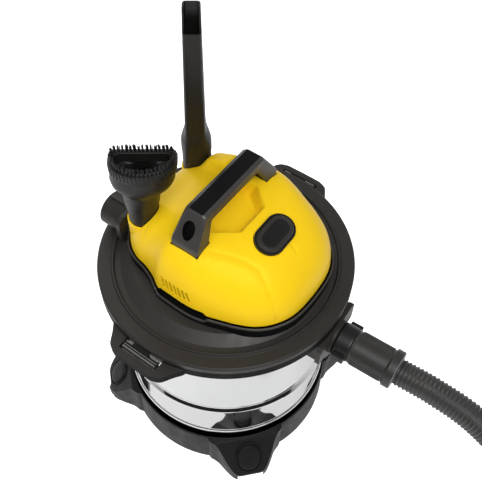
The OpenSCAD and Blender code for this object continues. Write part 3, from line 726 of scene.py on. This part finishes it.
def lid():
    """The deck, and the wall, shelf and dark strips that follow the cover's outline; the wall's
    lighter top is a painted highlight, the dark strips and shelf painted shade.
    """
    deck = lathe("deck", [(180, 350.3, 0.4), (180, 358.2, 1.6), (177.6, 360.4, 1.4),
                          (161.2, 359.6, 1.2), (159.6, 362.4, 0.9), (157.0, 362.4, 0.9),
                          (155.6, 358.8, 1.2), (147.5, 359.0, 3), (132.5, 368.4, 3), (97, 370),
                          (97, 334.5), (18, 334.5), (18, 331), (100.5, 331), (100.5, 366),
                          (131, 365), (147, 355.8), (163, 355.8), (163, 350.3)],
                 "dark", 256, 0.6)
    size = np.linalg.norm(OUTLINE, axis=1)
    y = OUTLINE[:, 1]
    dip = 6.5 * step(-52, -46, y) * (1 - step(24, 30, y))

    def ring(grow, z):
        p = OUTLINE * (1 + grow / size)[:, None]
        return [(a, b, c) for (a, b), c in zip(p, np.broadcast_to(z, len(p)))]

    top = 386.2 - dip
    # the wall is in the lighter handle plastic: its top is a painted highlight
    wall = loft("wall", [ring(2.2, top - 3.4), ring(4.9, top - 3.4), ring(4.9, top - 1.6),
                         ring(4.5, top - 0.3), ring(3.9, top), ring(3.2, top), ring(2.5, top - 0.5),
                         ring(2.2, top - 3.4)], "satin_and_highlight", caps=False)
    # the wall's outer face below the lip is near-black: painted shade
    side = loft("side", [ring(2.2, 366.0), ring(3.9, 366.0), ring(3.9, top - 3.0),
                         ring(2.2, top - 3.0), ring(2.2, 366.0)], "grip", caps=False)
    # a near-black shelf below the gap under the cover: painted shade
    shelf = loft("shelf", [ring(-7, 372), ring(3, 372), ring(3, 366), ring(-7, 366), ring(-7, 372)],
                 "grip", caps=False)
    # a near-black sheet inside the outline, taller at the flanks behind the vents: painted shade
    tall = 388 + 28 * step(0.75, 0.92, np.abs(OUTLINE[:, 0]) / size)
    inner = loft("inner", [ring(-7, 366.0), ring(-6, 366.0), ring(-6, tall), ring(-7, tall),
                           ring(-7, 366)], "grip", caps=False)
    o = joined("lid_shell", deck, wall, side, shelf, inner)
    settle(o, "lid", "dark", "lid_deck", degrees=32)


lid()

# ---------------------------------------------------------------- drum, collar and base


def drum():
    """The drum's sheet, with its bead, its step and the hole for the inlet."""
    def bead(z, tall, deep):
        return [(158.6 + deep * math.cos(a) ** 1.3, z + tall * math.sin(a))
                for a in np.linspace(-math.pi / 2, math.pi / 2, 15)[1:-1]]

    line = ([(0.01, 52), (158.0, 52), (158.6, 52.8), (158.6, 104)] + bead(109, 4.4, 2.3)
            + [(158.7, 114.5), (158.9, 140), (161.8, 180), (162.6, 186), (162.7, 188.4),
               (162.4, 189.4), (159.0, 194.2), (158.6, 195.6), (158.6, 344), (157.6, 344),
               (157.6, 53), (0.01, 53)])
    o = lathe("steel_drum", [(*p, 0) for p in line], "steel", 320)
    hole = prism("c", circle(23, 64), 100, 170, "steel", INLET @ turn(90, "X"))
    cut(o, hole)
    return settle(o, "tank", "steel", "drum", degrees=16)


drum()

# the collar's outer wall faces are near-black: painted shade under the rim
refined("collar_ring", 1.2, "dark", "drum_collar", body="tank", shaded_walls=("grip", 176),
        without=[block("c", (-215, -215, 310), (215, 215, 333.5), "dark")])
refined("base_skirt", 1.3, "base", "wheel_base", body="tank")
refined("inlet_flange", 1.2, "dark", "inlet_socket", body="tank")
refined("blower_spout", 1.0, "dark", "blower_port", body="lid")


def latch(side):
    """The CAD latch with a thumb plate on top, ribbed lengthwise, the ribs in a lighter plastic as
    a painted highlight.
    """
    name = "latch_left" if side < 0 else "latch_right"
    base = bpy.data.objects.new("base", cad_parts[name].data.copy())
    scene.collection.objects.link(base)
    base.data.materials.clear()
    base.data.materials.append(MATS["base"])
    parts = [base]
    place = Matrix.Scale(side, 4, (1, 0, 0)) @ move(187, 0, 341)
    plate = block("plate", (-7.6, -28.2, 2.4), (4.4, 28.2, 4.6), "black", place)
    parts.append(baked(bevel(plate, 0.9, 2)))
    # the ribs' lighter plastic is a painted highlight
    for x in (-5.6, -1.7, 2.2):
        rib = block("rib", (x - 1.1, -26.5, 4), (x + 1.1, 26.5, 7.4), "pale", place)
        parts.append(baked(bevel(rib, 0.6, 2)))
    o = joined(name + "_ribbed", *parts)
    return settle(o, name, "black", name)


latch(-1)
latch(1)
for i in range(1, 5):
    refined("castor_%d_fork" % i, 0.7, "base", "castor_fork_%d" % i, body="castor_%d" % i)
    refined("castor_%d_tyre" % i, 0.9, "wheel", "castor_wheel_%d" % i, body="wheel_%d" % i)


FIRST_ARM = 47          # degrees; the other castor arms follow at quarter turns
CAP_REACH, CAP_Z, CAP_TILT = 187.1, 64.1, 53.7


def caps():
    """Oval covers on the castor arms, each with a groove round its domed middle."""
    parts = []
    for i in range(4):
        rings = []
        for length, width, z in ((53, 42, 0.0), (53, 42, 1.2), (52, 41, 2.0), (50.6, 39.6, 2.2),
                                 (49.4, 38.4, 0.2), (45.6, 34.6, 0.2), (44, 33, 2.4),
                                 (38, 27, 3.1), (26, 16, 3.5), (12, 6, 3.6)):
            rings.append([(x, y, z) for x, y in stadium(length, width, 20)])
        o = loft("cap", rings, "base")
        o.data.transform(turn(FIRST_ARM + 90 * i) @ move(CAP_REACH, 0, CAP_Z)
                         @ turn(CAP_TILT, "Y"))
        parts.append(o)
    o = joined("castor_covers", *parts)
    return settle(o, "tank", "black", "castor_caps", degrees=40)


caps()

# ---------------------------------------------------------------- stowed nozzles

STOWED = -53            # degrees: how both nozzles are turned in their sockets
OFF_CORNER = 0.0137     # radians, so that no ray runs into a plan's corner


def radial(plan, steps=64):
    """A star-shaped plan resampled at even angles."""
    p = np.array(plan, float)
    q = np.roll(p, -1, axis=0)
    out = []
    for a in np.linspace(-math.pi, math.pi, steps, endpoint=False) + OFF_CORNER:
        d = np.array([math.cos(a), math.sin(a)])
        e = q - p
        cross = d[0] * e[:, 1] - d[1] * e[:, 0]
        cross = np.where(np.abs(cross) < 1e-12, 1e-12, cross)
        t = (p[:, 0] * e[:, 1] - p[:, 1] * e[:, 0]) / cross
        u = (p[:, 0] * d[1] - p[:, 1] * d[0]) / cross
        hit = t[(t > 0) & (u > -1e-6) & (u < 1 + 1e-6)]
        out.append(d * hit.max())
    return np.array(out)


def oblong(width, depth, corner):
    return radial(rounded([(width / 2, -depth / 2), (width / 2, depth / 2),
                           (-width / 2, depth / 2), (-width / 2, -depth / 2)], corner, 6))


def blended(radius, plan, t, spin=0.0):
    """Between a circle and a resampled plan."""
    p = np.asarray(plan)
    p = p * t + p / np.linalg.norm(p, axis=1)[:, None] * radius * (1 - t)
    c, s = math.cos(spin), math.sin(spin)
    return np.column_stack([p[:, 0] * c - p[:, 1] * s, p[:, 0] * s + p[:, 1] * c])


def at_height(plan, z):
    return [(x, y, z) for x, y in plan]


NECK_TOP, BLADE_LOW, TIP_Z = 484, 515, 690


def crevice():
    """A hollow tool: a round neck that turns oblong and narrows to a tip with a slanted mouth."""
    spin = math.radians(STOWED)

    def ring(z, thin=0.0):
        if z <= NECK_TOP:
            r = (20 if z < 468 else 20.6) - thin
            return at_height(blended(r, oblong(26, 34, 8), 0, spin), z)
        t = min((z - NECK_TOP) / (BLADE_LOW - NECK_TOP), 1)
        u = max((z - BLADE_LOW) / (TIP_Z - BLADE_LOW), 0)
        plan = oblong(27 - 5.7 * u - 2 * thin, 33 - 11 * u - 2 * thin, 7 - 2.5 * u - thin)
        lean = u * np.array([1.4, -2.0])
        return at_height(blended(20.6 - thin, plan, t * t * (3 - 2 * t), spin) + lean, z)

    levels = [396.3, 397.2, 430, 467.2, 468, 470, NECK_TOP, 489, 494, 499, 504, 509, BLADE_LOW,
              550, 600, 650, 689, TIP_Z]
    outer = [ring(z, 0.8 if z in (levels[0], levels[-1]) else 0.0) for z in levels]
    inner = [ring(z, 2.2) for z in reversed(levels)]
    o = loft("crevice_tool", outer + inner + [outer[0]], "black", caps=False)
    mouth = block("c", (-30, -42, 0), (30, -6.4, 90), "black",
                  turn(STOWED) @ move(0, 0, 658.5) @ turn(-9, "X"))
    cut(o, mouth)
    o.data.transform(move(SOCKET_X, SOCKET_Y))
    settle(o, "crevice", "black", "crevice_nozzle", degrees=35)


crevice()


FACE_Z = 541.0
HAIRS, HAIR_R, HAIR_UP = 14, 0.45, 9.6      # to a tuft, radius, height over the face


def brush_plan(d):
    """The head's plan, drawn in by d: a half ellipse in front, a short straight-sided back."""
    pts = [((41.5 - d) * math.cos(a), (31 - d) * math.sin(a))
           for a in np.linspace(math.pi, 2 * math.pi, 30)]
    back = [(41.5 - d, 9 - d), (41.5 - d, 13 - d), (40 - d, 16 - d), (36.5 - d, 18 - d)]
    return pts + back + [(-x, y) for x, y in back[::-1]]


def spaced(chain, gap):
    """Places and headings at even gaps round a closed plan."""
    line = np.array(list(chain) + [chain[0]])
    run = np.r_[0, np.cumsum(np.linalg.norm(np.diff(line, axis=0), axis=1))]
    count = int(run[-1] / gap)
    out = []
    for k in range(count):
        s = run[-1] * k / count
        a = np.array([np.interp(s, run, line[:, i]) for i in (0, 1)])
        b = np.array([np.interp(s + 0.5, run, line[:, i]) for i in (0, 1)])
        out.append((a[0], a[1], math.degrees(math.atan2(b[1] - a[1], b[0] - a[0]))))
    return out


def brush():
    """The head with its ribs and knobs, then the tufts, one on each knob."""
    place = move(-SOCKET_X, SOCKET_Y) @ turn(STOWED)
    tufts = spaced(brush_plan(4.2), 4.9)
    side = 7.3

    def ring(z, r, t, d=0.0):
        plan = blended(r, radial(brush_plan(d), 96), t)
        push = side * min(max((z - 478) / 48, 0), 1)
        return at_height(plan + [push, 0], z)

    f = FACE_Z
    outer = [ring(396.3, 19.2, 0), ring(397.2, 20, 0), ring(432, 20, 0), ring(457, 20.8, 0),
             ring(465, 22.6, 0), ring(491, 24.6, 0.05), ring(495, 25, 0.12),
             ring(499, 25.5, 0.4), ring(505, 26.5, 0.8), ring(513, 27, 0.96),
             ring(f - 15, 27, 1.0, 1.4), ring(f - 14.4, 27, 1, 0.5), ring(f - 13, 27, 1, 0),
             ring(f - 1.4, 27, 1, 0), ring(f - 0.4, 27, 1, 0.4),
             ring(f, 27, 1, 1.3), ring(f, 27, 1, 6.6), ring(f - 0.8, 27, 1, 7.6),
             ring(f - 14, 27, 1, 8.6), ring(f - 15.5, 15, 0.4, 9), ring(512, 12, 0),
             ring(480, 12, 0), ring(470, 17, 0), ring(396.3, 17, 0)]
    parts = [loft("head", outer + [outer[0]], "black", caps=False)]
    for x, y, a in spaced(brush_plan(0), 5.0):
        rib = block("rib", (-1.25, -0.8, f - 12.4), (1.25, 1.1, f - 2.2), "black",
                    move(x + side, y) @ turn(a))
        parts.append(baked(bevel(rib, 0.5, 2)))
    for x, y, _ in tufts:
        parts.append(prism("knob", circle(1.9, 10), f - 0.4, f + 0.7, "black", move(x + side, y)))
    o = joined("brush_tool", *parts)
    o.data.transform(place)
    settle(o, "brush", "black", "brush_nozzle", degrees=40)

    rng = np.random.default_rng(7)
    points, faces = [], []

    def hair(x, y, z0, z1, dx, dy, r):
        base = len(points)
        for z, s, q in ((z0, 0.0, r), ((z0 + z1) / 2, 0.35, r), (z1, 1.0, r * 0.75)):
            for k in range(6):
                a = math.pi * k / 3
                points.append((x + dx * s + q * math.cos(a), y + dy * s + q * math.sin(a), z))
        for i in range(2):
            for k in range(6):
                a, b = base + i * 6 + k, base + i * 6 + (k + 1) % 6
                faces.append((a, b, b + 6, a + 6))
        faces.append(tuple(base + 12 + k for k in range(6)))

    for cx, cy, _ in tufts:
        lean = rng.normal(0, 0.4, 2)
        tall = rng.normal(0, 0.5)
        for _ in range(HAIRS):
            ang, rad = rng.uniform(0, 2 * math.pi), 1.75 * math.sqrt(rng.uniform())
            ox, oy = rad * math.cos(ang), rad * math.sin(ang)
            tip = f + HAIR_UP + tall + rng.uniform(-0.8, 0.4)
            hair(cx + side + ox * 0.8, cy + oy * 0.8, f - 1, tip,
                 ox * 0.3 + lean[0], oy * 0.3 + lean[1], HAIR_R)
    o = solid("bristle_tufts", points, faces, "bristle")
    o.data.transform(place)
    settle(o, "brush", "bristle", "brush_bristles", degrees=50, flat=False)


brush()

# ---------------------------------------------------------------- CAD nodes that stay

KEPT = {
    "black": ("inlet_deflector switch_body motor_casing casing_lid float_cage hose_grip "
              "bleed_slider"),
    "zinc": ("latch_pins castor_stems base_screws castor_axle_1 castor_axle_2 castor_axle_3 "
             "castor_axle_4 handle_screws switch_spring motor_frame motor_bearings fan_cover "
             "motor_shaft"),
    "dark": "filter_ring", "alloy": "fan_impeller", "copper": "motor_stator motor_rotor",
    "rubber": "lid_gasket cable_gland", "foam": "acoustic_foam filter_sleeve",
    "carbon": "carbon_brushes", "white": "float_ball",
}
for key, names in KEPT.items():
    for name in names.split():
        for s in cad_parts[name].material_slots:
            s.material = MATS[key]

# ---------------------------------------------------------------- floor and light


def glow_floor():
    """A pale floor that glows for the camera, less in reflections, and barely onto the object."""
    m = bpy.data.materials.new("floor")
    m.use_nodes = True
    t = m.node_tree
    b = t.nodes["Principled BSDF"]
    b.inputs["Base Color"].default_value = (0.85, 0.85, 0.85, 1)
    b.inputs["Roughness"].default_value = 0.9
    b.inputs["Emission Color"].default_value = (1, 1, 1, 1)
    path = node(t, "ShaderNodeLightPath")
    pick = node(t, "ShaderNodeMapRange")
    pick.inputs["To Min"].default_value = 0.12
    pick.inputs["To Max"].default_value = 0.9
    seen = node(t, "ShaderNodeMath", operation="MULTIPLY_ADD")
    seen.inputs[1].default_value = 0.18
    t.links.new(path.outputs["Is Glossy Ray"], seen.inputs[0])
    t.links.new(path.outputs["Is Camera Ray"], seen.inputs[2])
    t.links.new(seen.outputs[0], pick.inputs["Value"])
    t.links.new(pick.outputs["Result"], b.inputs["Emission Strength"])
    return m


mesh = bpy.data.meshes.new("floor")
mesh.from_pydata([(-6, -6, 0), (6, -6, 0), (6, 6, 0), (-6, 6, 0)], [], [(0, 1, 2, 3)])
floor = bpy.data.objects.new("floor", mesh)
scene.collection.objects.link(floor)
mesh.materials.append(glow_floor())


def studio():
    """White to the camera; as a light, dim from the camera's side and brighter elsewhere."""
    w = bpy.data.worlds.new("studio")
    w.use_nodes = True
    t = w.node_tree
    back = t.nodes["Background"]
    place = node(t, "ShaderNodeTexCoord")
    facing = node(t, "ShaderNodeVectorMath", operation="DOT_PRODUCT")
    facing.inputs[1].default_value = (-0.8, -0.6, 0.0)
    t.links.new(place.outputs["Generated"], facing.inputs[0])
    ramp = node(t, "ShaderNodeMapRange", interpolation_type="SMOOTHSTEP")
    for key, value in (("From Min", 0.0), ("From Max", 0.35), ("To Min", 0.33), ("To Max", 0.02)):
        ramp.inputs[key].default_value = value
    t.links.new(facing.outputs["Value"], ramp.inputs["Value"])
    path = node(t, "ShaderNodeLightPath")
    mix = node(t, "ShaderNodeMix", data_type="FLOAT")
    mix.inputs["B"].default_value = 1.0
    t.links.new(path.outputs["Is Camera Ray"], mix.inputs["Factor"])
    t.links.new(ramp.outputs["Result"], mix.inputs["A"])
    t.links.new(mix.outputs["Result"], back.inputs["Strength"])
    back.inputs["Color"].default_value = (1, 1, 1, 1)
    return w


scene.world = studio()


def lamp(name, size, power, place, aim):
    """A square lamp: its side, place and aim are in metres, its power in watts."""
    data = bpy.data.lights.new(name, "AREA")
    data.energy, data.size = power, size
    o = bpy.data.objects.new(name, data)
    scene.collection.objects.link(o)
    o.location = place
    o.rotation_euler = (Vector(aim) - Vector(place)).to_track_quat("-Z", "Y").to_euler()
    return o


lamp("key", 1.3, 34, (-0.75, -1.2, 2.1), (0, 0, 0.3))
lamp("fill", 1.4, 10, (-1.7, 0.7, 1.5), (0, 0, 0.3)).visible_glossy = False
lamp("top", 1.2, 9, (-0.95, -0.15, 2.0), (0, 0, 0.35))
lamp("rim", 1.0, 10, (0.9, 1.5, 1.4), (0, 0, 0.35))
scene.view_settings.view_transform = "Standard"
